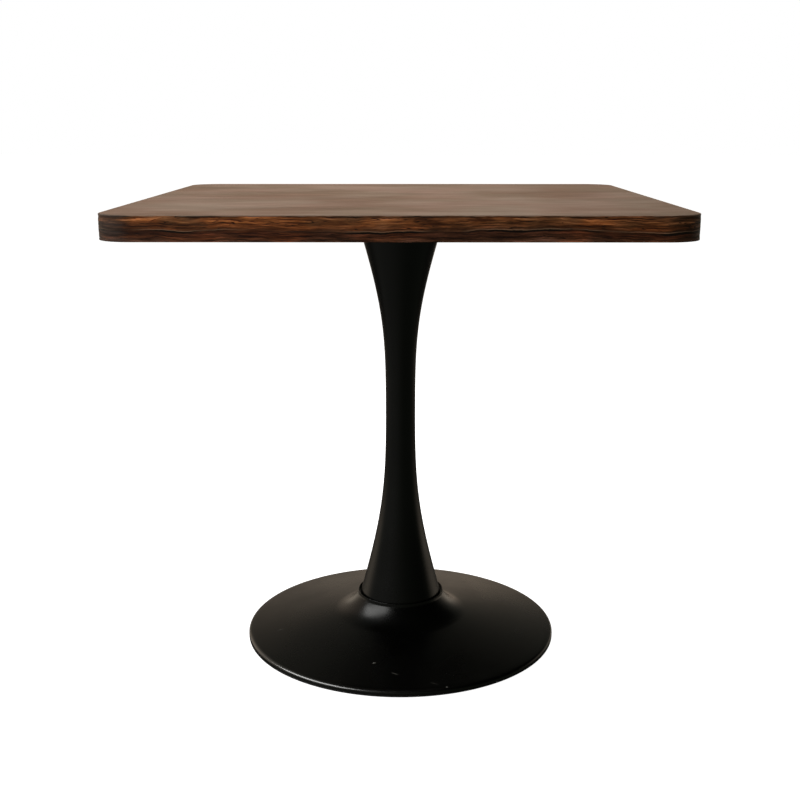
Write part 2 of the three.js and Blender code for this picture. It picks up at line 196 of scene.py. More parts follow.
BACKDROP = (1.0, 1.0, 1.0)             # what the camera sees past the floor
ROOM_TOP = (0.004, 0.004, 0.004)
ROOM_BACK = [                          # warm wall behind the table, darker and greyer upwards
    (0.12, (0.45, 0.373, 0.295)),
    (0.22, (0.31, 0.258, 0.205)),
    (0.34, (0.165, 0.156, 0.130)),
    (0.52, (0.13, 0.130, 0.112)),
    (0.62, (0.08, 0.080, 0.068)),
    (0.70, ROOM_TOP),
]
ROOM_FLOOR = (0.03, 0.03, 0.026)       # and well below the horizon
ROOM_GLOW = (1.34, 1.30, 1.26)         # the same wall just right of the middle
ROOM_SIDES = (0.88, 0.76, 0.61)        # paler at both ends of that wall, low down
SIDES_HEIGHT = -0.05                   # of those ends, as the sine of their elevation
ROOM_LEFT = (0.225, 0.225, 0.200)      # the camera's side of the room, left and right
ROOM_RIGHT = (0.095, 0.105, 0.080)
CEILING_TILT = 0.45                    # the dark above comes lower on the right


def make_world():
    world = bpy.data.worlds.new("studio")
    bpy.context.scene.world = world
    world.use_nodes = True
    tree = world.node_tree
    tree.nodes.clear()
    parts = axes(tree, add(tree, "TexCoord").outputs["Generated"])
    across = calc(tree, "MULTIPLY_ADD", parts["X"], 0.5, 0.5)
    upward = calc(tree, "ADD", parts["Z"], calc(tree, "MULTIPLY", parts["X"], CEILING_TILT))
    off_centre = calc(tree, "ABSOLUTE", parts["X"])
    height = calc(tree, "ABSOLUTE", calc(tree, "SUBTRACT", parts["Z"], SIDES_HEIGHT))
    low_down = ramp(tree, height, [(0.06, 1.0), (0.15, 0.0)])
    ends = calc(tree, "MULTIPLY", ramp(tree, off_centre, [(0.22, 0.0), (0.42, 1.0)]), low_down)
    back = mix(tree, ends, ramp(tree, upward, ROOM_BACK, smooth=False), ROOM_SIDES)
    middle = ramp(tree, across, [(0.49, 0.0), (0.56, 1.0), (0.59, 1.0), (0.65, 0.0)])
    back = mix(tree, middle, back, ROOM_GLOW, "MULTIPLY")
    downward = calc(tree, "MULTIPLY", parts["Z"], -1.0)
    back = mix(tree, ramp(tree, downward, [(0.12, 0.0), (0.24, 1.0)]), back, ROOM_FLOOR)
    front = ramp(tree, across, [(0.15, ROOM_LEFT), (0.75, ROOM_RIGHT)])
    front = mix(tree, ramp(tree, upward, [(0.30, 0.0), (0.60, 1.0)]), front, ROOM_TOP)
    facing = ramp(tree, parts["Y"], [(0.0, 0.0), (0.45, 1.0)])
    room = mix(tree, facing, front, back)
    seen = add(tree, "Background", {"Color": rgba(BACKDROP), "Strength": 1.0})
    lit = add(tree, "Background", {"Color": room, "Strength": 1.0})
    camera_ray = add(tree, "LightPath").outputs["Is Camera Ray"]
    both = add(tree, "MixShader", {0: camera_ray, 1: lit.outputs[0], 2: seen.outputs[0]})
    add(tree, "OutputWorld", {"Surface": both.outputs[0]})


AIM = Vector((0.0, 0.0, 0.45))         # the lights look at the middle of the table

# name: direction and elevation in degrees round the table, distance and size in metres,
# power in watts, colour, and which kind of reflection it feeds. Direction 0 is the
# camera's side and 90 is its left.
LIGHTS = {
    "key_left": (58.0, 34.0, 2.6, (0.9, 1.2), 21.5, (1.0, 0.98, 0.95), "diffuse"),
    "overhead": (180.0, 66.0, 2.4, (2.4, 2.4), 63.0, (1.0, 0.98, 0.96), "diffuse"),
    "front_fill": (5.0, 30.0, 3.2, (1.4, 0.9), 12.0, (1.0, 0.96, 0.92), "diffuse"),
    "softbox": (69.0, 31.0, 2.6, (2.8, 1.1), 54.0, (1.0, 1.0, 0.98), "glossy"),
}


def make_lights():
    for name, (direction, elevation, distance, size, power, colour, kind) in LIGHTS.items():
        data = bpy.data.lights.new(name, "AREA")
        data.shape = "RECTANGLE"
        data.size, data.size_y = size
        data.energy = power
        data.color = colour
        light = bpy.data.objects.new(name, data)
        a, e = math.radians(direction), math.radians(elevation)
        away = Vector((-math.sin(a) * math.cos(e), -math.cos(a) * math.cos(e), math.sin(e)))
        light.location = AIM + away * distance
        light.rotation_euler = away.to_track_quat("Z", "Y").to_euler()
        light.visible_camera = False
        light.visible_diffuse = kind == "diffuse"
        light.visible_glossy = kind == "glossy"
        bpy.context.scene.collection.objects.link(light)


FLOOR_REACH = 30.0                     # from the middle to each side
FLOOR_GAP = 0.05 * MM                  # keeps the floor clear of the feet


def make_floor():
    """A white sweep: it glows by itself, and neither lights nor mirrors in the table."""
    mesh = bpy.data.meshes.new("floor")
    corners = [
        (-FLOOR_REACH, -FLOOR_REACH, 0), (FLOOR_REACH, -FLOOR_REACH, 0),
        (FLOOR_REACH, FLOOR_REACH, 0), (-FLOOR_REACH, FLOOR_REACH, 0),
    ]
    mesh.from_pydata(corners, [], [(0, 1, 2, 3)])
    floor = bpy.data.objects.new("floor", mesh)
    floor.location.z = cad_box[0].z - FLOOR_GAP
    bpy.context.scene.collection.objects.link(floor)
    material, tree, shader = new_material("floor_paint")
    inputs = {"Vector": place_in(tree), "Scale": 3.0, "Detail": 4.0}
    blotch = add(tree, "TexNoise", inputs).outputs["Fac"]
    feed(tree, shader, {
        "Base Color": ramp(tree, blotch, [(0.3, 0.80), (0.7, 0.84)]),
        "Roughness": 0.9,
        "Emission Color": rgba(1.0),
        "Emission Strength": 1.0,
    })
    mesh.materials.append(material)
    floor.visible_glossy = False
    floor.visible_diffuse = False


# ---- materials -------------------------------------------------------------------------

SIDE_SHADE_SPAN = 0.8            # painted shade: the top's colour darkens towards its left and right ends, more on the right, across this width


def wood_decor():
    """Satin laminate: straight brown-grey grain along X."""
    material, tree, shader = new_material("wood_decor")
    cloud = noise_at(tree, stretched(tree, (5.0, 6.5, 1.0)), 3.0, 0.5)
    blush = noise_at(tree, stretched(tree, (7.0, 9.0, 1.0), (2.0, 5.0, 0.0)), 2.0)
    streak = noise_at(tree, stretched(tree, (4.5, 42.0, 1.0)), 5.0, 0.62, 0.3)
    fibre = noise_at(tree, stretched(tree, (18.0, 420.0, 1.0)), 3.0, 0.6)
    base = ramp(tree, cloud, [(0.34, (0.192, 0.119, 0.077)), (0.66, (0.262, 0.179, 0.132))])
    dark = ramp(tree, streak, [(0.34, (0.62, 0.55, 0.50)), (0.62, 1.0)])
    fine = ramp(tree, fibre, [(0.32, 0.78), (0.62, 1.06)])
    colour = tint(tree, mix(tree, 0.6, base, dark, "MULTIPLY"), fine)
    hue = ramp(tree, blush, [(0.36, (0.97, 1.01, 1.00)), (0.64, (1.04, 0.98, 0.98))])
    colour = tint(tree, colour, hue)
    # painted shade: darker towards the left and right ends of the top, most on the right
    across = axes(tree, place_in(tree))["X"]
    across = calc(tree, "MULTIPLY_ADD", across, 1.0 / SIDE_SHADE_SPAN, 0.5)
    painted_side_shade = ramp(tree, across, [(0.0, 0.95), (0.3, 1.03), (0.6, 1.03), (1.0, 0.88)])
    feed(tree, shader, {
        "Base Color": tint(tree, colour, painted_side_shade),
        "Roughness": ramp(tree, fibre, [(0.3, 0.58), (0.7, 0.46)]),
        "Specular IOR Level": 0.35,
        "Normal": bump(tree, calc(tree, "ADD", fibre, streak), 0.05 * MM, 0.5),
    })
    return material


EDGE_TONES = [                         # from the band's lower edge to its upper one
    (0.00, (0.150, 0.060, 0.030)),
    (0.14, (0.108, 0.036, 0.014)),
    (0.30, (0.078, 0.024, 0.010)),
    (0.46, (0.105, 0.036, 0.013)),
    (0.64, (0.168, 0.057, 0.017)),
    (0.80, (0.325, 0.118, 0.038)),
    (0.93, (0.275, 0.102, 0.036)),
    (1.00, (0.130, 0.048, 0.020)),
]
# dark of the cracks, and also the painted shadow under the arris
EDGE_CRACK_AND_SHADOW = (0.007, 0.003, 0.002)
EDGE_LIP_HIGHLIGHT = (0.27, 0.165, 0.100)        # painted highlight on the upper lip of the long crack
EDGE_ARRIS_HIGHLIGHT = (0.27, 0.185, 0.135)      # painted highlight: a pale line where the arris meets the top
EDGE_CORNER_SHADE = (0.022, 0.016, 0.013)    # painted shade and sheen: dark grey-brown round the corners, where the band turns from the light
CORNER_SHADE_FROM = [(0.346, 0.0), (0.366, 1.0)]     # by distance from both middle lines
CORNER_SHADE_WEIGHT = [(0.0, 0.67), (0.3, 0.34)]     # by X: less on the right
CRACK_LEVEL = 0.385                    # the long crack's height, as a share of the band
# short cracks: scale along the grain and across it, shift, and width
SHORT_CRACKS = [(9.0, 6.0, 2.0, 0.016), (14.0, 9.0, 7.0, 0.014)]


def wood_edge():
    """Rustic band: wavy fine grain, orange above and dark red below a long black crack."""
    material, tree, shader = new_material("wood_edge")
    low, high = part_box("edge_band")
    parts = axes(tree, place_in(tree))
    height = calc(tree, "DIVIDE", calc(tree, "SUBTRACT", parts["Z"], low.z), high.z - low.z)
    wave = noise_at(tree, stretched(tree, (7.0, 7.0, 6.0)), 2.0, 0.5)
    ripple = noise_at(tree, stretched(tree, (34.0, 34.0, 40.0), (3.0, 1.0, 0.0)), 3.0, 0.6)
    bend = calc(tree, "ADD", swing(tree, wave, 0.42), swing(tree, ripple, 0.12))
    level = calc(tree, "ADD", height, bend)
    colour = ramp(tree, level, EDGE_TONES, smooth=False)

    def grain(reach, layers, shift, *character):
        """Noise that follows the bent grain: its scale along the band and across it."""
        place = add(tree, "CombineXYZ", {
            "X": calc(tree, "MULTIPLY", parts["X"], reach),
            "Y": calc(tree, "MULTIPLY", parts["Y"], reach),
            "Z": calc(tree, "MULTIPLY_ADD", level, layers, shift),
        })
        return noise_at(tree, place.outputs[0], *character)

    streak = grain(16.0, 11.0, 0.0, 4.0, 0.65, 0.2)
    light = [(0.36, (0.24, 0.20, 0.19)), (0.50, 0.95), (0.64, (2.1, 2.1, 2.3))]
    colour = tint(tree, colour, ramp(tree, streak, light))
    hair = [(0.38, (0.62, 0.57, 0.56)), (0.52, 1.05), (0.64, (1.6, 1.65, 1.9))]
    colour = tint(tree, colour, ramp(tree, grain(30.0, 24.0, 1.0, 3.0, 0.6), hair))
    patch = [(0.36, (0.72, 0.80, 0.90)), (0.62, (1.18, 1.05, 0.9))]
    colour = tint(tree, colour, ramp(tree, grain(14.0, 1.5, 4.0, 2.0), patch))
    for reach, layers, shift, width in SHORT_CRACKS:
        field = grain(reach, layers, shift, 2.0, 0.5)
        off = calc(tree, "ABSOLUTE", calc(tree, "SUBTRACT", field, 0.5))
        gaps = ramp(tree, grain(12.0, 3.0, shift, 1.0), [(0.42, 0.0), (0.58, 0.9)])
        line = ramp(tree, off, [(width * 0.3, 1.0), (width, 0.0)])
        colour = mix(tree, calc(tree, "MULTIPLY", line, gaps), colour, EDGE_CRACK_AND_SHADOW)
    above = calc(tree, "SUBTRACT", level, CRACK_LEVEL)
    gaps = ramp(tree, grain(9.0, 0.5, 9.0, 2.0), [(0.40, 0.1), (0.56, 1.0)])
    # painted highlight: a pale line along the upper lip of the long crack
    lip = ramp(tree, above, [(0.020, 0.0), (0.040, 0.7), (0.055, 0.7), (0.080, 0.0)])
    colour = mix(tree, calc(tree, "MULTIPLY", lip, gaps), colour, EDGE_LIP_HIGHLIGHT)
    crack = ramp(tree, calc(tree, "ABSOLUTE", above), [(0.026, 1.0), (0.044, 0.0)])
    colour = mix(tree, calc(tree, "MULTIPLY", crack, gaps), colour, EDGE_CRACK_AND_SHADOW)
    edge = calc(tree, "ADD", height, swing(tree, ripple, 0.10))
    # painted shadow: a broken dark line just under the arris
    chips = ramp(tree, grain(15.0, 0.2, 6.0, 2.0), [(0.42, 0.15), (0.60, 0.9)])
    groove = ramp(tree, edge, [(0.88, 0.0), (0.93, 1.0), (0.948, 1.0), (0.962, 0.0)])
    colour = mix(tree, calc(tree, "MULTIPLY", groove, chips), colour, EDGE_CRACK_AND_SHADOW)
    # painted highlight: a pale line along the arris
    colour = mix(tree, ramp(tree, edge, [(0.950, 0.0), (0.968, 0.9)]), colour, EDGE_ARRIS_HIGHLIGHT)
    # painted shade and sheen: the band is coloured dark grey-brown round its corners, less on the
    # right
    sides = [calc(tree, "ABSOLUTE", parts[axis]) for axis in ("X", "Y")]
    corner = ramp(tree, calc(tree, "MINIMUM", *sides), CORNER_SHADE_FROM)
    corner = calc(tree, "MULTIPLY", corner, ramp(tree, parts["X"], CORNER_SHADE_WEIGHT))
    feed(tree, shader, {
        "Base Color": mix(tree, corner, colour, EDGE_CORNER_SHADE),
        "Roughness": ramp(tree, streak, [(0.3, 0.68), (0.7, 0.50)]),
        "Specular IOR Level": 0.16,
        "Normal": bump(tree, streak, 0.5 * MM, 0.8),
    })
    return material


# place on the base, direction in degrees, length and width in millimetres, and strength
SCUFFS = [
    (-41.4, -189.0, 20.0, 4.0, 1.6, 0.9),
    (-7.6, -218.0, -25.0, 8.0, 1.3, 0.6),
    (54.0, -241.0, -20.0, 9.0, 1.0, 0.25),
    (73.3, -249.0, 10.0, 2.6, 1.8, 0.9),
    (-205.0, -54.0, 15.0, 7.0, 1.2, 0.3),
]
SCUFF_TONE = (0.30, 0.30, 0.28)
DUST_TONE = (0.10, 0.10, 0.095)
COAT_SHINE = 0.28                      # specular level of the coat
RIM_SHINE = 1.0                        # where the shoulder of the base is rubbed bright
# that place, in metres: by radius, by height, by X, and by distance towards the front
RUBBED_RADIUS = [(0.2575, 0.0), (0.2600, 1.0)]
RUBBED_HEIGHT = [(0.0080, 0.0), (0.0092, 1.0)]
RUBBED_SIDE = [(0.0, 1.0), (0.15, 0.25)]
RUBBED_FRONT = [(0.01, 0.0), (0.11, 1.0)]


def black_coat():
    """Satin black powder coat with fine orange peel, a little dust and a few scuffs."""
    material, tree, shader = new_material("black_coat")
    patch = noise_at(tree, stretched(tree, 9.0))
    peel = noise_at(tree, stretched(tree, 900.0), 2.0)
    cells = cells_at(tree, stretched(tree, 21.0))
    chosen = ramp(tree, axes(tree, cells["Color"])["X"], [(0.80, 0.0), (0.82, 1.0)])
    dot = ramp(tree, cells["Distance"], [(0.014, 1.0), (0.034, 0.0)])
    tone = ramp(tree, patch, [(0.3, (0.0004, 0.0005, 0.0004)), (0.7, (0.0011, 0.0013, 0.0010))])
    colour = mix(tree, calc(tree, "MULTIPLY", dot, chosen), tone, DUST_TONE)
    place = place_in(tree)
    for x, y, degrees, length, width, strength in SCUFFS:
        local = add(tree, "Mapping", {
            "Vector": place, "Location": (x * MM, y * MM, 0.0),
            "Rotation": (0.0, 0.0, math.radians(degrees)),
            "Scale": (length * MM, width * MM, 1.0),
        }, vector_type="TEXTURE").outputs[0]
        away = add(tree, "VectorMath", {0: local}, operation="LENGTH").outputs["Value"]
        colour = mix(tree, ramp(tree, away, [(0.2, strength), (1.0, 0.0)]), colour, SCUFF_TONE)
    flat = add(tree, "VectorMath", {0: place, 1: (1.0, 1.0, 0.0)}, operation="MULTIPLY")
    radius = add(tree, "VectorMath", {0: flat.outputs[0]}, operation="LENGTH").outputs["Value"]
    parts = axes(tree, place)
    forward = calc(tree, "MULTIPLY", parts["Y"], -1.0)
    rubbed = ramp(tree, radius, RUBBED_RADIUS)
    for measure, stops in (
        (parts["Z"], RUBBED_HEIGHT), (parts["X"], RUBBED_SIDE), (forward, RUBBED_FRONT),
    ):
        rubbed = calc(tree, "MULTIPLY", rubbed, ramp(tree, measure, stops))
    feed(tree, shader, {
        "Base Color": colour,
        "Roughness": ramp(tree, patch, [(0.3, 0.25), (0.7, 0.33)]),
        "Specular IOR Level": ramp(tree, rubbed, [(0.0, COAT_SHINE), (1.0, RIM_SHINE)]),
        "Coat Weight": rubbed,
        "Coat Roughness": 0.25,
        "Coat IOR": 1.7,
        "Normal": bump(tree, peel, 0.02 * MM, 0.35),
    })
    return material


def rubber_like(name, tone, roughness, grain):
    """Matt black rubber or nylon with a fine moulded grain."""
    material, tree, shader = new_material(name)
    patch = noise_at(tree, stretched(tree, 60.0))
    fine = noise_at(tree, stretched(tree, grain), 3.0)
    darker = tuple(0.7 * value for value in tone)
    feed(tree, shader, {
        "Base Color": ramp(tree, patch, [(0.3, darker), (0.7, tone)]),
        "Roughness": ramp(tree, fine, [(0.3, roughness - 0.06), (0.7, roughness + 0.06)]),
        "Specular IOR Level": 0.3,
        "Normal": bump(tree, fine, 0.03 * MM, 0.5),
    })
    return material


def black_iron():
    """Rough sand casting under thin black paint, rubbed through to brown here and there."""
    material, tree, shader = new_material("black_iron")
    sand = noise_at(tree, stretched(tree, 420.0), 5.0, 0.65)
    patch = noise_at(tree, stretched(tree, 26.0), 6.0, 0.6)
    rust = ramp(tree, patch, [(0.60, 0.0), (0.74, 0.6)])
    tone = ramp(tree, sand, [(0.3, (0.016, 0.016, 0.017)), (0.7, (0.034, 0.033, 0.032))])
    feed(tree, shader, {
        "Base Color": mix(tree, rust, tone, (0.070, 0.036, 0.020)),
        "Roughness": ramp(tree, sand, [(0.3, 0.78), (0.7, 0.60)]),
        "Normal": bump(tree, sand, 0.25 * MM, 0.7),
    })
    return material


def zinc():
    """Bright zinc plate with a faint milky patchiness."""
    material, tree, shader = new_material("zinc")
    patch = noise_at(tree, stretched(tree, (240.0, 240.0, 90.0)))
    fine = noise_at(tree, stretched(tree, 1500.0), 2.0)
    feed(tree, shader, {
        "Base Color": ramp(tree, patch, [(0.3, (0.46, 0.48, 0.50)), (0.7, (0.66, 0.68, 0.69))]),
        "Roughness": ramp(tree, patch, [(0.3, 0.42), (0.7, 0.26)]),
        "Metallic": 1.0,
        "Normal": bump(tree, fine, 0.01 * MM, 0.4),
    })
    return material


def chipboard():
    """Raw particle board: pale chips of mixed tone."""
    material, tree, shader = new_material("chipboard")
    chips = cells_at(tree, stretched(tree, (260.0, 260.0, 600.0)))
    tones = [(0.2, (0.30, 0.20, 0.11)), (0.8, (0.56, 0.42, 0.26))]
    feed(tree, shader, {
        "Base Color": ramp(tree, chips["Color"], tones),
        "Roughness": 0.9,
        "Normal": bump(tree, chips["Distance"], 0.3 * MM, 0.6),
    })
    return material


def backing():
    """Dark brown balancing sheet on the underside, with a faint sanded direction."""
    material, tree, shader = new_material("backing")
    cloud = noise_at(tree, stretched(tree, (5.0, 8.0, 1.0)), 5.0)
    sanded = noise_at(tree, stretched(tree, (14.0, 900.0, 1.0)), 3.0)
    tone = ramp(tree, cloud, [(0.3, (0.046, 0.028, 0.018)), (0.7, (0.070, 0.044, 0.030))])
    feed(tree, shader, {
        "Base Color": tint(tree, tone, ramp(tree, sanded, [(0.3, 0.85), (0.7, 1.1)])),
        "Roughness": ramp(tree, sanded, [(0.3, 0.72), (0.7, 0.58)]),
        "Normal": bump(tree, sanded, 0.03 * MM, 0.4),
    })
    return material


MATERIALS = {
    "wood_decor": wood_decor(),
    "wood_edge": wood_edge(),
    "chipboard": chipboard(),
    "backing": backing(),
    "black_coat": black_coat(),
    "black_rubber": rubber_like("black_rubber", (0.012, 0.012, 0.012), 0.68, 700.0),
    "black_iron": black_iron(),
    "zinc": zinc(),
    "nylon": rubber_like("nylon", (0.022, 0.022, 0.022), 0.52, 500.0),
}
SLOT_OF = {part["node"]: part["material_slot"] for part in frame["record"]["subparts"]}
BODY_OF = {
    node: body
    for body, nodes in frame["record"]["behaviour"]["bodies"].items()
    for node in nodes
}


def paint(piece, node):
    piece.data.materials.clear()
    piece.data.materials.append(MATERIALS[SLOT_OF[node]])


def stand_in(piece, node):
    """The piece is shown in place of the CAD node, on its body and in its material."""
    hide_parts(node)
    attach(piece, BODY_OF[node])
    paint(piece, node)


# ---- mesh helpers ----------------------------------------------------------------------

LARGE = 240                  # sides of the base's dish and rim
ROUND = 160                  # of the other large turned pieces
MIDDLE = 96                  # of discs and tubes inside them
SMALL = 48                   # of washers and holes
FINE = 32                    # of the rod and screws
POINT_MERGE = 1e-7           # metres between points that count as one
ROUNDING_STEPS = 4
BLUNT = math.radians(150.0)  # a profile's corner this open isn't rounded
REACH_LIMIT = 0.45           # a rounding takes at most this share of a side
THREAD_ROWS = 6              # rings in each turn of a thread
POINT_RADIUS = 0.05 * MM     # smallest radius at a screw's point


def shade(mesh, sharp_degrees):
    """Merges doubled points, turns the faces outwards, and smooths all but the sharp edges."""
    shape = bmesh.new()
    shape.from_mesh(mesh)
    bmesh.ops.remove_doubles(shape, verts=shape.verts, dist=POINT_MERGE)
    bmesh.ops.recalc_face_normals(shape, faces=shape.faces)
    for face in shape.faces:
        face.smooth = True
    for edge in shape.edges:
        sharp = edge.calc_face_angle(0.0) > math.radians(sharp_degrees)
        edge.smooth = not sharp
    shape.to_mesh(mesh)
    shape.free()


def cut_out(target, cutter, sharp_degrees=35.0):
    """Cuts a bmesh out of an object for good."""
    mesh = bpy.data.meshes.new("cutter")
    cutter.to_mesh(mesh)
    cutter.free()
    tool = bpy.data.objects.new("cutter", mesh)
    bpy.context.scene.collection.objects.link(tool)
    cut = target.modifiers.new("cut", "BOOLEAN")
    cut.operation = "DIFFERENCE"
    cut.solver = "EXACT"
    cut.use_self = True
    cut.object = tool
    bpy.context.view_layer.update()
    seen = target.evaluated_get(bpy.context.evaluated_depsgraph_get())
    result = bpy.data.meshes.new_from_object(seen)
    target.modifiers.clear()
    target.data = result
    bpy.data.objects.remove(tool)
    shade(result, sharp_degrees)


def joined(first, second):
    shape = bmesh.new()
    shape.from_mesh(first)
    shape.from_mesh(second)
    mesh = bpy.data.meshes.new(first.name)
    shape.to_mesh(mesh)
    shape.free()
    return mesh


def to_object(name, vertices, faces, sharp_degrees=35.0):
    mesh = bpy.data.meshes.new(name)
    mesh.from_pydata(vertices, [], faces)
    mesh.update()
    shade(mesh, sharp_degrees)
    made = bpy.data.objects.new(name, mesh)
    bpy.context.scene.collection.objects.link(made)
    return made


def middle_of(low, high):
    """Centre of a box, seen from above."""
    return tuple(((low + high) / 2)[:2])


def arc(centre, radius, start, end, steps):
    return [
        (
            centre[0] + radius * math.cos(start + (end - start) * i / steps),
            centre[1] + radius * math.sin(start + (end - start) * i / steps),
        )
        for i in range(steps + 1)
    ]


def ring(radius, z, sides, centre=(0.0, 0.0)):
    turn = 2.0 * math.pi / sides
    return [
        (centre[0] + radius * math.cos(i * turn), centre[1] + radius * math.sin(i * turn), z)
        for i in range(sides)
    ]


def skin(rings, closed):
    """Quads between rings of equal length; closed joins the last ring to the first."""
    sides = len(rings[0])
    vertices = [point for row in rings for point in row]
    faces = []
    for row in range(len(rings) if closed else len(rings) - 1):
        above = (row + 1) % len(rings)
        for i in range(sides):
            j = (i + 1) % sides
            faces.append((row * sides + i, row * sides + j, above * sides + j, above * sides + i))
    if not closed:
        faces.append(tuple(reversed(range(sides))))
        top = (len(rings) - 1) * sides
        faces.append(tuple(range(top, top + sides)))
    return vertices, faces


def turned(name, profile, sides=ROUND, centre=(0.0, 0.0), closed=True):
    """Turns a (radius, height) profile about an upright axis. An open profile is capped flat."""
    rings = [ring(radius, z, sides, centre) for radius, z in profile]
    return to_object(name, *skin(rings, closed))


def threaded(name, radius, depth, pitch, low, high, centre, head, sides=FINE, tip=0.0):
    """A shank with a real helical thread, above its head's rings; tip is its point's length."""
    rows = round((high - low) / pitch * THREAD_ROWS)
    rings = list(head)
    for row in range(rows + 1):
        z = low + (high - low) * row / rows
        ease = min(1.0, (high - z) / tip) if tip else 1.0
        ends = min(1.0, (z - low) / pitch, (high - z) / pitch)
        points = []
        for i in range(sides):
            turn = i / sides
            phase = ((z - low) / pitch - turn) % 1.0
            crest = 1.0 - abs(2.0 * phase - 1.0)
            r = max(POINT_RADIUS, (radius - depth * (1.0 - crest * ends)) * ease)
            angle = 2.0 * math.pi * turn
            points.append((centre[0] + r * math.cos(angle), centre[1] + r * math.sin(angle), z))
        rings.append(points)
    return to_object(name, *skin(rings, False), sharp_degrees=60.0)


def rounded(profile, radius):
    """Replaces each sharp corner of a closed profile by a small curve."""
    result = []
    for i, corner in enumerate(profile):
        here = Vector(corner)
        before = Vector(profile[i - 1]) - here
        after = Vector(profile[(i + 1) % len(profile)]) - here
        angle = before.angle(after)
        if angle > BLUNT:
            result.append(corner)
            continue
        side = min(before.length, after.length)
        reach = min(radius / math.tan(angle / 2), side * REACH_LIMIT)
        start, end = here + before.normalized() * reach, here + after.normalized() * reach
        for step in range(ROUNDING_STEPS + 1):
            t = step / ROUNDING_STEPS
            point = start * (1 - t) ** 2 + here * 2 * t * (1 - t) + end * t ** 2
            result.append(tuple(point))
    return result


def bezier(p0, p1, p2, p3, steps):
    points = []
    for i in range(steps + 1):
        t = i / steps
        weights = ((1 - t) ** 3, 3 * t * (1 - t) ** 2, 3 * t * t * (1 - t), t ** 3)
        pairs = zip(weights, (p0, p1, p2, p3))
        points.append(tuple(sum((Vector(p) * w for w, p in pairs), Vector((0.0, 0.0)))))
    return points


# node: radius of its bore, easing of its edges, and sides
PLAIN_RINGS = {
    "upper_centring_disc": (16.3 * MM, 0.4 * MM, MIDDLE),
    "lower_centring_disc": (5.6 * MM, 0.4 * MM, MIDDLE),
    "spider_hub": (5.3 * MM, 0.6 * MM, SMALL),
    "neck_support_tube": (54.0 * MM, 0.5 * MM, MIDDLE),
    "tie_rod_washer": (5.3 * MM, 0.4 * MM, SMALL),
}


def ring_section(low, high, bore, outer, ease):
    return rounded([(bore, low.z), (outer, low.z), (outer, high.z), (bore, high.z)], ease)


def plain_ring(node):
    bore, ease, sides = PLAIN_RINGS[node]
    low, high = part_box(node)
    section = ring_section(low, high, bore, high.x, ease)
    stand_in(turned(f"{node}_fine", section, sides), node)


# ---- table top -------------------------------------------------------------------------

CORNER_RADIUS = 50.0 * MM
CORNER_STEPS = 28
BAND = 2.0 * MM              # thickness of the edge band
ARRIS = 1.5 * MM             # radius of its upper edge
ARRIS_STEPS = 5
BAND_CHAMFER = 0.4 * MM      # along its lower edge
BAND_SPACING = 4.0 * MM      # of its points along the straight sides
BAND_ROWS = 16
BAND_RELIEF = 0.45 * MM      # depth of its deepest grooves
GROOVE_REACH = 11.0          # scale of the grooves along the band and across it
GROOVE_LAYERS = 330.0
GROOVE_SHARE = 0.35          # depth of the relief between them, as a share of the deepest
WANDER_REACH = 9.0           # scale at which they wander up and down, and how far
WANDER = 5.0 * MM
PLAIN_BELOW = 1.0 * MM       # the grooves stop short of both its edges
PLAIN_ABOVE = 0.5 * MM
# easing of the edges of the flat layers
LAYERS = {"top_laminate": 0.12 * MM, "top_core": 0.05 * MM, "backing_laminate": 0.1 * MM}


def rounded_square(half, radius, spacing=None):
    """Counterclockwise outline; with a spacing, the straight sides are divided too."""
    outline = []
    centre = half - radius
    for corner in range(4):
        start = corner * math.pi / 2
        cx = centre if corner in (0, 3) else -centre
        cy = centre if corner < 2 else -centre
        for step in range(CORNER_STEPS + 1):
            angle = start + step / CORNER_STEPS * math.pi / 2
            outline.append((cx + radius * math.cos(angle), cy + radius * math.sin(angle)))
        if spacing:
            here = Vector(outline[-1])
            along = Vector((-math.sin(start + math.pi / 2), math.cos(start + math.pi / 2)))
            count = round(2 * centre / spacing)
            for i in range(1, count):
                outline.append(tuple(here + along * (2 * centre * i / count)))
    return outline


def board(name, half, radius, low, high, ease):
    """Flat slab with rounded corners whose edges are eased."""
    rings = []
    for inset, z in ((ease, low), (0.0, low + ease), (0.0, high - ease), (ease, high)):
        rings.append([(x, y, z) for x, y in rounded_square(half - inset, radius - inset)])
    return to_object(name, *skin(rings, False))


def make_top():
    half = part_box("top_core")[1].x
    for node, ease in LAYERS.items():
        low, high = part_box(node)
        slab = board(f"{node}_fine", half, CORNER_RADIUS - BAND, low.z, high.z, ease)
        stand_in(slab, node)


def band_relief(x, y, z):
    """Shallow grooves that follow the grain: a depth below the band's outer face."""
    wander = noise.noise(Vector((x * WANDER_REACH, y * WANDER_REACH, 3.0))) * WANDER
    layer = (z + wander) * GROOVE_LAYERS
    groove = noise.noise(Vector((x * GROOVE_REACH, y * GROOVE_REACH, layer)))
    return BAND_RELIEF * max(0.0, min(1.0, GROOVE_SHARE + groove))


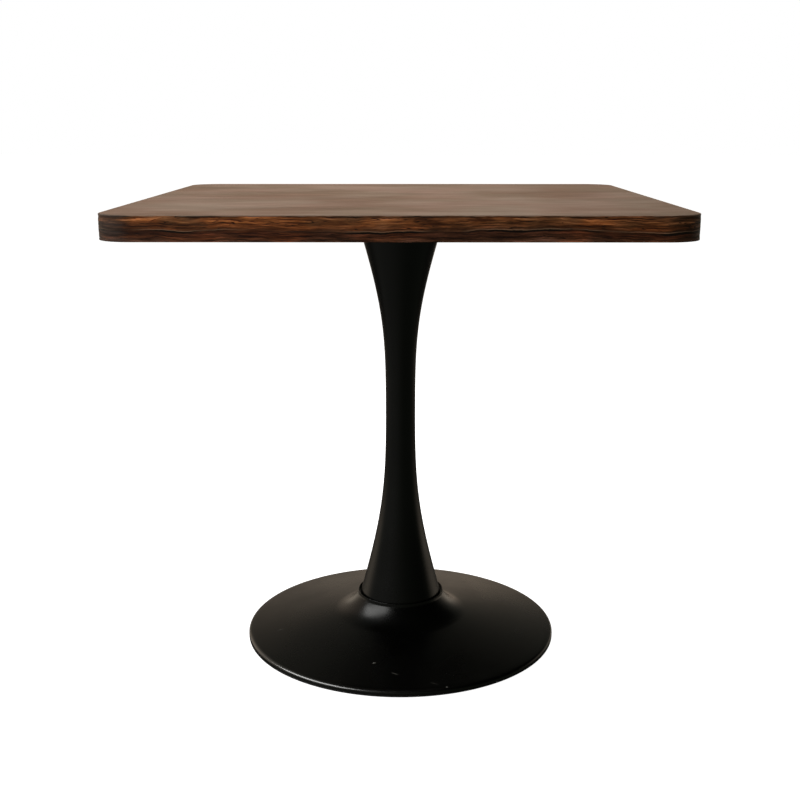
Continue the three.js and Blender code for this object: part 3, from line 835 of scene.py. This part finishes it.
def make_band():
    low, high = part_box("edge_band")
    half = high.x
    foot = low.z + BAND_CHAMFER
    face = high.z - ARRIS - foot
    profile = [(BAND, low.z), (BAND_CHAMFER, low.z)]
    profile += [(0.0, foot + face * i / BAND_ROWS) for i in range(BAND_ROWS)]
    for step in range(ARRIS_STEPS + 1):
        angle = step / ARRIS_STEPS * math.pi / 2
        profile.append((ARRIS * (1 - math.cos(angle)), high.z - ARRIS * (1 - math.sin(angle))))
    profile.append((BAND, high.z))
    rings = []
    for inset, z in profile:
        grooved = inset == 0.0 and low.z + PLAIN_BELOW < z < high.z - ARRIS - PLAIN_ABOVE
        row = []
        for x, y in rounded_square(half - inset, CORNER_RADIUS - inset, BAND_SPACING):
            shrink = 1.0 - band_relief(x, y, z) / half if grooved else 1.0
            row.append((x * shrink, y * shrink, z))
        rings.append(row)
    stand_in(to_object("edge_band_fine", *skin(rings, True), sharp_degrees=50.0), "edge_band")


# ---- fixing plate and screws -----------------------------------------------------------

PLATE_DISC_RADIUS = 78.0 * MM
PLATE_STEPS = 20             # in each arc of its outline
PLATE_EASE = 0.7 * MM
ARM_HALF_WIDTH = 18.0 * MM
DIAGONALS = [math.radians(degrees) for degrees in (45.0, 135.0, 225.0, 315.0)]


def make_spider():
    low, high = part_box("mounting_spider")
    arm_end = (high.x - ARM_HALF_WIDTH) * math.sqrt(2)
    root = math.asin(ARM_HALF_WIDTH / PLATE_DISC_RADIUS)
    quarter = math.pi / 2
    outline = []
    for angle in DIAGONALS:
        tip = (arm_end * math.cos(angle), arm_end * math.sin(angle))
        outline += arc(tip, ARM_HALF_WIDTH, angle - quarter, angle + quarter, PLATE_STEPS)
        next_arm = angle + quarter
        outline += arc((0.0, 0.0), PLATE_DISC_RADIUS, angle + root, next_arm - root, PLATE_STEPS)
    rings = [[(x, y, z) for x, y in outline] for z in (low.z, high.z)]
    plate = to_object("mounting_spider_fine", *skin(rings, False))
    bevel = plate.modifiers.new("eased", "BEVEL")
    bevel.width = PLATE_EASE
    bevel.segments = 3
    bevel.limit_method = "ANGLE"
    bevel.angle_limit = math.radians(40.0)
    stand_in(plate, "mounting_spider")


SCREW_RADIUS = 2.35 * MM
SCREW_THREAD, SCREW_PITCH = 0.6 * MM, 2.2 * MM
SCREW_POINT = 5.0 * MM
SCREW_SHANK = 2.0 * MM       # radius and length of the plain part under the head
SCREW_PLAIN = 0.5 * MM
HEAD_ANGLES = [math.radians(degrees) for degrees in (24.0, 40.0, 55.0, 68.0, 80.0, 90.0)]
HEAD_ROUNDNESS = 0.8         # 1 is a half ellipse, and less is fuller
CROSS_HALF_WIDTH, CROSS_ARM, CROSS_DEPTH = 0.55 * MM, 2.3 * MM, 1.6 * MM


def cut_cross(screw, centre, z):
    """Sinks a cross recess into the head, from below."""
    cutter = bmesh.new()
    for long, short in ((CROSS_ARM, CROSS_HALF_WIDTH), (CROSS_HALF_WIDTH, CROSS_ARM)):
        box = bmesh.ops.create_cube(cutter, size=1.0)["verts"]
        bmesh.ops.scale(cutter, vec=(2 * long, 2 * short, 2 * CROSS_DEPTH), verts=box)
        bmesh.ops.translate(cutter, vec=(*centre, z), verts=box)
    cut_out(screw, cutter, 60.0)


def make_screws():
    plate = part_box("mounting_spider")[0].z
    for node in sorted(n for n in frame["nodes"] if n.startswith("wood_screw_")):
        low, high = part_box(node)
        centre = middle_of(low, high)
        head = (high.x - low.x) / 2
        thick = plate - low.z
        rings = [
            ring(head * math.sin(a), plate - thick * math.cos(a) ** HEAD_ROUNDNESS, FINE, centre)
            for a in HEAD_ANGLES
        ]
        rings.append(ring(head, plate, FINE, centre))
        rings.append(ring(SCREW_SHANK, plate, FINE, centre))
        screw = threaded(
            f"{node}_fine", SCREW_RADIUS, SCREW_THREAD, SCREW_PITCH,
            plate + SCREW_PLAIN, high.z, centre, rings, tip=SCREW_POINT,
        )
        cut_cross(screw, centre, low.z)
        stand_in(screw, node)


# ---- column ----------------------------------------------------------------------------

COLUMN_MID = 397.0 * MM      # height of the waist
WAIST_RADIUS = 24.8 * MM
COLUMN_WALL = 2.5 * MM
COLUMN_STEPS = 48            # in each half
# radius and slope at the end, and how far the waist and that slope reach along the axis
LOWER_HALF = (69.2 * MM, 0.275, 129.0 * MM, 144.0 * MM)
UPPER_HALF = (70.0 * MM, 0.299, 128.0 * MM, 141.0 * MM)
FOOT_EASE = 0.5 * MM         # rounding of the column's lower edge
FOOT_SETBACK = 0.1 * MM      # and how much narrower the column is just above it


def hourglass_half(half, end):
    radius, slope, waist_pull, end_pull = half
    side = math.copysign(1.0, end - COLUMN_MID)
    return bezier(
        (WAIST_RADIUS, COLUMN_MID),
        (WAIST_RADIUS, COLUMN_MID + side * waist_pull),
        (radius - slope * end_pull, end - side * end_pull),
        (radius, end),
        COLUMN_STEPS,
    )


def make_column():
    low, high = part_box("column_shell")
    lower = hourglass_half(LOWER_HALF, low.z)[::-1]
    outside = lower + hourglass_half(UPPER_HALF, high.z)[1:]
    inside = [(radius - COLUMN_WALL, z) for radius, z in reversed(outside)]
    foot = lower[0][0]
    outside[0] = (foot - FOOT_EASE, low.z)
    outside.insert(1, (foot - FOOT_SETBACK, low.z + FOOT_EASE))
    stand_in(turned("column_shell_fine", outside + inside), "column_shell")
    for node in ("upper_centring_disc", "lower_centring_disc", "spider_hub"):
        plain_ring(node)


# ---- base ------------------------------------------------------------------------------

DISH_WALL = 2.5 * MM
SHOULDER = 12.2 * MM         # height of the dish where its rounded shoulder begins
SHOULDER_RADIUS = 5.0 * MM
SHOULDER_STEPS = 8
CONE_STEPS = 12              # between the shoulder and the flare
NECK_RADIUS = 73.2 * MM
LIP = 1.4 * MM               # thickness of the lip round the column
LIP_STEPS = 6
LEDGE_RADIUS = 48.0 * MM     # inner edge of the ledge that the column stands on
FLARE_RADIUS = 115.0 * MM    # where the flare meets the cone, and its height there
FLARE_HEIGHT = 37.5 * MM
FLARE_STEPS = 28
NECK_STEEPNESS = math.radians(60.0)
NECK_PULL = 14.0 * MM        # how far the flare keeps to its slope at either end
FLARE_PULL = 22.0 * MM


def flare(inward, ledge, cone):
    wall = NECK_RADIUS - inward
    down = ledge - inward - NECK_PULL * math.sin(NECK_STEEPNESS)
    pull = FLARE_RADIUS - FLARE_PULL
    return bezier(
        (wall, ledge - inward),
        (wall + NECK_PULL * math.cos(NECK_STEEPNESS), down),
        (pull, cone(pull) - inward),
        (FLARE_RADIUS, FLARE_HEIGHT - inward),
        FLARE_STEPS,
    )


def make_dish():
    low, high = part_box("base_dish")
    rim = high.x
    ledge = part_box("column_shell")[0].z
    start = rim - SHOULDER_RADIUS
    slope = (FLARE_HEIGHT - SHOULDER) / (start - FLARE_RADIUS)

    def cone(radius):
        return SHOULDER + (start - radius) * slope

    bend = SHOULDER - SHOULDER_RADIUS
    level = math.pi / 2 - math.atan(slope)
    shoulder = arc((start, bend), SHOULDER_RADIUS, 0.0, level, SHOULDER_STEPS)
    radii = [rim + (FLARE_RADIUS - rim) * i / CONE_STEPS for i in range(1, CONE_STEPS)]
    plain = [(radius, cone(radius)) for radius in radii]
    crown = LIP / 2
    lip = arc((NECK_RADIUS - crown, high.z - crown), crown, 0.0, math.pi, LIP_STEPS)
    outside = [(rim, low.z)] + shoulder + plain + flare(0.0, ledge, cone)[::-1] + lip
    inside = [(NECK_RADIUS - LIP, ledge), (LEDGE_RADIUS, ledge), (LEDGE_RADIUS, ledge - DISH_WALL)]
    inside += flare(DISH_WALL, ledge, cone)
    inside += [(start, SHOULDER - DISH_WALL), (rim - DISH_WALL, bend), (rim - DISH_WALL, low.z)]
    stand_in(turned("base_dish_fine", outside + inside, LARGE), "base_dish")


TRIM_WIDTH = 5.4 * MM
TRIM_GAP = 1.1 * MM          # between the dish's wall and the trim's inner leg
TRIM_STEP = 4.7 * MM         # height above the floor at which it meets the dish's edge
TRIM_EASE = 0.9 * MM
RECESS_HEIGHT = 20.0 * MM    # roof of the recess round the nut
RECESS_ROOF, RECESS_MOUTH = 142.0 * MM, 150.0 * MM     # its radius there and below
ROD_BORE = 5.6 * MM
BALLAST_WALL = 4.0 * MM      # height of the ballast's outer wall
BALLAST_CREST = 120.5 * MM   # radius of its flat upper face
BALLAST_EASE = 2.0 * MM
HOLE_RADIUS = 4.2 * MM       # holes in the ballast for the glides, countersunk below
SINK_RADIUS = 5.2 * MM
SINK_DEPTH = 1.0 * MM


def make_trim():
    low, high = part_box("rim_trim_ring")
    outer = high.x
    inner = outer - TRIM_WIDTH
    leg = outer - DISH_WALL - TRIM_GAP
    section = [
        (inner, low.z), (outer, low.z), (outer, TRIM_STEP),
        (leg, TRIM_STEP), (leg, high.z), (inner, high.z),
    ]
    trim = turned("rim_trim_ring_fine", rounded(section, TRIM_EASE), LARGE)
    stand_in(trim, "rim_trim_ring")


def make_ballast():
    low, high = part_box("ballast_plate")
    section = [
        (ROD_BORE, RECESS_HEIGHT), (RECESS_ROOF, RECESS_HEIGHT), (RECESS_MOUTH, low.z),
        (high.x, low.z), (high.x, low.z + BALLAST_WALL), (BALLAST_CREST, high.z),
        (ROD_BORE, high.z),
    ]
    plate = turned("ballast_plate_fine", rounded(section, BALLAST_EASE))
    cutter = bmesh.new()
    for number in range(1, 5):
        profile = [
            (SINK_RADIUS, low.z - SINK_DEPTH), (SINK_RADIUS, low.z),
            (HOLE_RADIUS, low.z + SINK_DEPTH), (HOLE_RADIUS, high.z),
        ]
        centre = middle_of(*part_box(f"glide_stem_{number}"))
        hole = turned("hole", profile, SMALL, centre, closed=False)
        cutter.from_mesh(hole.data)
        bpy.data.objects.remove(hole)
    cut_out(plate, cutter)
    stand_in(plate, "ballast_plate")


# ---- tie rod ---------------------------------------------------------------------------

ROD_THREAD, ROD_PITCH = 0.75 * MM, 1.5 * MM
ROD_THREADED = 14.0 * MM     # how far the thread reaches above the ballast's underside
ROD_PLAIN = 0.4 * MM         # the plain part's radius is smaller by this
ROD_CHAMFER, ROD_CHAMFER_HEIGHT = 1.1 * MM, 0.7 * MM
NUT_BORE = 5.1 * MM
NUT_CHAMFER = 0.6 * MM
NUT_SIDES = 72
HEX_FACE = 0.97              # round face of a hexagon, as a share of half its width
HEX_CONE = math.tan(math.radians(30.0))
SPRING_BORE = 5.3 * MM
SPRING_EASE = 0.3 * MM
SPRING_SPLIT = 0.16          # radians


def hexagon_rows(flat, low, high, sides, centre):
    """Rings of a hexagonal prism whose corners are cut back by a cone at both ends."""
    face = flat * HEX_FACE
    rows = []
    for z, inwards in ((low, 1), (high, -1)):
        prism = []
        for i in range(sides):
            angle = 2 * math.pi * i / sides
            r = flat / math.cos(angle % (math.pi / 3) - math.pi / 6)
            x, y = centre[0] + r * math.cos(angle), centre[1] + r * math.sin(angle)
            prism.append((x, y, z + inwards * (r - face) * HEX_CONE))
        rows += [ring(face, z, sides, centre), prism][::inwards]
    return rows


def make_nut():
    low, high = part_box("tie_rod_nut")
    flat = (high.x - low.x) / 2 * math.cos(math.pi / 6)
    rings = hexagon_rows(flat, low.z, high.z, NUT_SIDES, (0.0, 0.0))
    for radius, z in (
        (NUT_BORE + NUT_CHAMFER, high.z), (NUT_BORE, high.z - NUT_CHAMFER),
        (NUT_BORE, low.z + NUT_CHAMFER), (NUT_BORE + NUT_CHAMFER, low.z),
    ):
        rings.append(ring(radius, z, NUT_SIDES))
    stand_in(to_object("tie_rod_nut_fine", *skin(rings, True), sharp_degrees=25.0), "tie_rod_nut")


def make_spring_washer():
    low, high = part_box("tie_rod_spring_washer")
    section = ring_section(low, high, SPRING_BORE, high.y, SPRING_EASE)
    rings = []
    for step in range(SMALL + 1):
        angle = SPRING_SPLIT / 2 + (2 * math.pi - SPRING_SPLIT) * step / SMALL
        rings.append([(r * math.cos(angle), r * math.sin(angle), z) for r, z in section])
    washer = to_object("tie_rod_spring_washer_fine", *skin(rings, False))
    stand_in(washer, "tie_rod_spring_washer")


def make_tie_rod():
    low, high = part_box("tie_rod")
    radius = high.x
    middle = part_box("ballast_plate")[0].z + ROD_THREADED
    rod = threaded(
        "tie_rod_fine", radius, ROD_THREAD, ROD_PITCH, low.z + ROD_CHAMFER_HEIGHT, middle,
        (0.0, 0.0), [ring(radius - ROD_CHAMFER, low.z, FINE)],
    )
    plain = [(radius - ROD_PLAIN, middle), (radius - ROD_PLAIN, high.z)]
    upper = turned("upper", plain, FINE, closed=False)
    rod.data = joined(rod.data, upper.data)
    bpy.data.objects.remove(upper)
    stand_in(rod, "tie_rod")


# ---- glides ----------------------------------------------------------------------------

PAD_EDGE = 0.9 * MM
PAD_SIDES = 72
EDGE_STEPS = 5
SOCKET_RADIUS = 5.3 * MM     # the pad's socket holds the stem's button behind a mouth
SOCKET_FLOOR = 1.7 * MM
MOUTH_RADIUS = 3.3 * MM
MOUTH_DEPTH = 0.2 * MM
# the button and the neck above it: radius and height in millimetres
BUTTON = ((4.6, 2.0), (5.0, 2.4), (5.0, 3.2), (4.6, 3.6), (3.0, 3.6), (3.0, 4.4))
HEX_FLAT = 6.5 * MM          # half the width of the stem's hexagon
HEX_FOOT, HEX_TOP = 4.4 * MM, 7.0 * MM
STEM_RADIUS = 4.0 * MM
STEM_THREAD, STEM_PITCH = 0.6 * MM, 1.25 * MM
STEM_SIDES = 36


def make_glides():
    quarter = math.pi / 2
    for number in range(1, 5):
        low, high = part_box(f"glide_pad_{number}")
        centre = middle_of(low, high)
        round_at = (high.x - low.x) / 2 - PAD_EDGE
        profile = arc((round_at, low.z + PAD_EDGE), PAD_EDGE, -quarter, 0.0, EDGE_STEPS)
        profile += arc((round_at, high.z - PAD_EDGE), PAD_EDGE, 0.0, quarter, EDGE_STEPS)
        profile += [
            (MOUTH_RADIUS, high.z), (MOUTH_RADIUS, high.z - MOUTH_DEPTH),
            (SOCKET_RADIUS, high.z - MOUTH_DEPTH), (SOCKET_RADIUS, SOCKET_FLOOR),
        ]
        pad = turned(f"glide_pad_{number}_fine", profile, PAD_SIDES, centre, closed=False)
        stand_in(pad, f"glide_pad_{number}")
        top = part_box(f"glide_stem_{number}")[1].z
        head = [ring(radius * MM, z * MM, STEM_SIDES, centre) for radius, z in BUTTON]
        head += hexagon_rows(HEX_FLAT, HEX_FOOT, HEX_TOP, STEM_SIDES, centre)
        stem = threaded(
            f"glide_stem_{number}_fine", STEM_RADIUS, STEM_THREAD, STEM_PITCH,
            HEX_TOP, top, centre, head, sides=STEM_SIDES,
        )
        stand_in(stem, f"glide_stem_{number}")


# ---- everything ------------------------------------------------------------------------

make_camera()
make_world()
make_lights()
make_floor()
for node, piece in frame["nodes"].items():
    paint(piece, node)       # in case a CAD node is shown by itself
make_top()
make_band()
make_spider()
make_screws()
make_column()
make_dish()
make_trim()
make_ballast()
plain_ring("neck_support_tube")
make_tie_rod()
plain_ring("tie_rod_washer")
make_spring_washer()
make_nut()
make_glides()

bpy.context.scene.view_settings.view_transform = "Standard"
bpy.context.view_layer.update()
